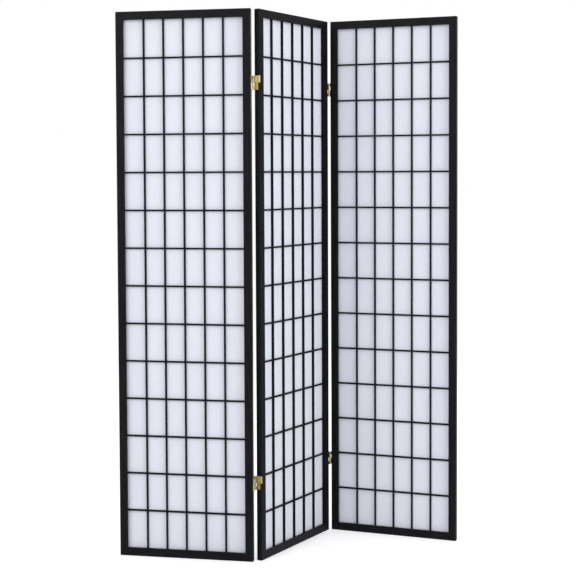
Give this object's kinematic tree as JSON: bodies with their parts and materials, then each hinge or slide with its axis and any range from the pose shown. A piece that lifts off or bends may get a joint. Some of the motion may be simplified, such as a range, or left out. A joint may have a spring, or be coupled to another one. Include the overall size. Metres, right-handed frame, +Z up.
{
  "type": "folding screen",
  "caption": "Free-standing room divider of hinged wooden lattice panels backed with translucent white paper, folding both ways on two-way link hinges",
  "frame": {"origin": "centre of the middle panel's underside, at mid thickness, on the floor plane", "axes": "+Z up along the panels; the screen's front faces -Y; X runs along the row of panels, left panel at -X"},
  "size_m": [1.134, 0.4308, 1.784],
  "materials": {
    "black_lacquered_wood": "satin black lacquer over fine wood grain",
    "shoji_paper": "matt white translucent fibre paper",
    "hinge_brass": "brass plated, satin",
    "screw_brass": "brass plated, satin"
  },
  "bodies": {
    "left_panel": {"left_panel_left_stile": "black_lacquered_wood", "left_panel_right_stile": "black_lacquered_wood", "left_panel_top_rail": "black_lacquered_wood", "left_panel_bottom_rail": "black_lacquered_wood", "left_panel_lattice_uprights": "black_lacquered_wood", "left_panel_lattice_crossbars": "black_lacquered_wood", "left_panel_paper": "shoji_paper", "left_panel_paper_beads": "black_lacquered_wood", "left_hinge_outer_leaves": "hinge_brass", "left_hinge_outer_pins": "hinge_brass", "left_hinge_outer_screws": "screw_brass"},
    "middle_panel": {"middle_panel_left_stile": "black_lacquered_wood", "middle_panel_right_stile": "black_lacquered_wood", "middle_panel_top_rail": "black_lacquered_wood", "middle_panel_bottom_rail": "black_lacquered_wood", "middle_panel_lattice_uprights": "black_lacquered_wood", "middle_panel_lattice_crossbars": "black_lacquered_wood", "middle_panel_paper": "shoji_paper", "middle_panel_paper_beads": "black_lacquered_wood", "left_hinge_inner_leaves": "hinge_brass", "left_hinge_inner_pins": "hinge_brass", "left_hinge_inner_screws": "screw_brass", "right_hinge_inner_leaves": "hinge_brass", "right_hinge_inner_pins": "hinge_brass", "right_hinge_inner_screws": "screw_brass"},
    "right_panel": {"right_panel_left_stile": "black_lacquered_wood", "right_panel_right_stile": "black_lacquered_wood", "right_panel_top_rail": "black_lacquered_wood", "right_panel_bottom_rail": "black_lacquered_wood", "right_panel_lattice_uprights": "black_lacquered_wood", "right_panel_lattice_crossbars": "black_lacquered_wood", "right_panel_paper": "shoji_paper", "right_panel_paper_beads": "black_lacquered_wood", "right_hinge_outer_leaves": "hinge_brass", "right_hinge_outer_pins": "hinge_brass", "right_hinge_outer_screws": "screw_brass"},
    "left_upper_links": {"left_hinge_upper_links": "hinge_brass"},
    "left_lower_links": {"left_hinge_lower_links": "hinge_brass"},
    "right_upper_links": {"right_hinge_upper_links": "hinge_brass"},
    "right_lower_links": {"right_hinge_lower_links": "hinge_brass"}
  },
  "joints": [
    {"name": "left_front_fold", "type": "hinge", "parent": "middle_panel", "child": "left_upper_links", "pos_m": [-0.10809, -0.20221, 0], "axis": [0, 0, 1], "range_deg": [0, 90]},
    {"name": "left_back_fold", "type": "hinge", "parent": "left_upper_links", "child": "left_panel", "pos_m": [-0.1278, -0.19037, 0], "axis": [0, 0, -1], "range_deg": [-70.5, 109.5]},
    {"name": "left_lower_links_turn", "type": "hinge", "parent": "left_panel", "child": "left_lower_links", "pos_m": [-0.13239, -0.21291, 0], "axis": [0, 0, -1], "range_deg": [0, 90]},
    {"name": "right_back_fold", "type": "hinge", "parent": "middle_panel", "child": "right_upper_links", "pos_m": [0.10809, 0.20221, 0], "axis": [0, 0, 1], "range_deg": [0, 90]},
    {"name": "right_front_fold", "type": "hinge", "parent": "right_upper_links", "child": "right_panel", "pos_m": [0.1278, 0.19037, 0], "axis": [0, 0, -1], "range_deg": [-80.5, 99.5]},
    {"name": "right_lower_links_turn", "type": "hinge", "parent": "right_panel", "child": "right_lower_links", "pos_m": [0.13623, 0.21177, 0], "axis": [0, 0, -1], "range_deg": [0, 90]}
  ],
  "couplings": [
    {"joint": "left_lower_links_turn", "follows": "left_front_fold", "ratio": 1},
    {"joint": "right_lower_links_turn", "follows": "right_back_fold", "ratio": 1}
  ]
}
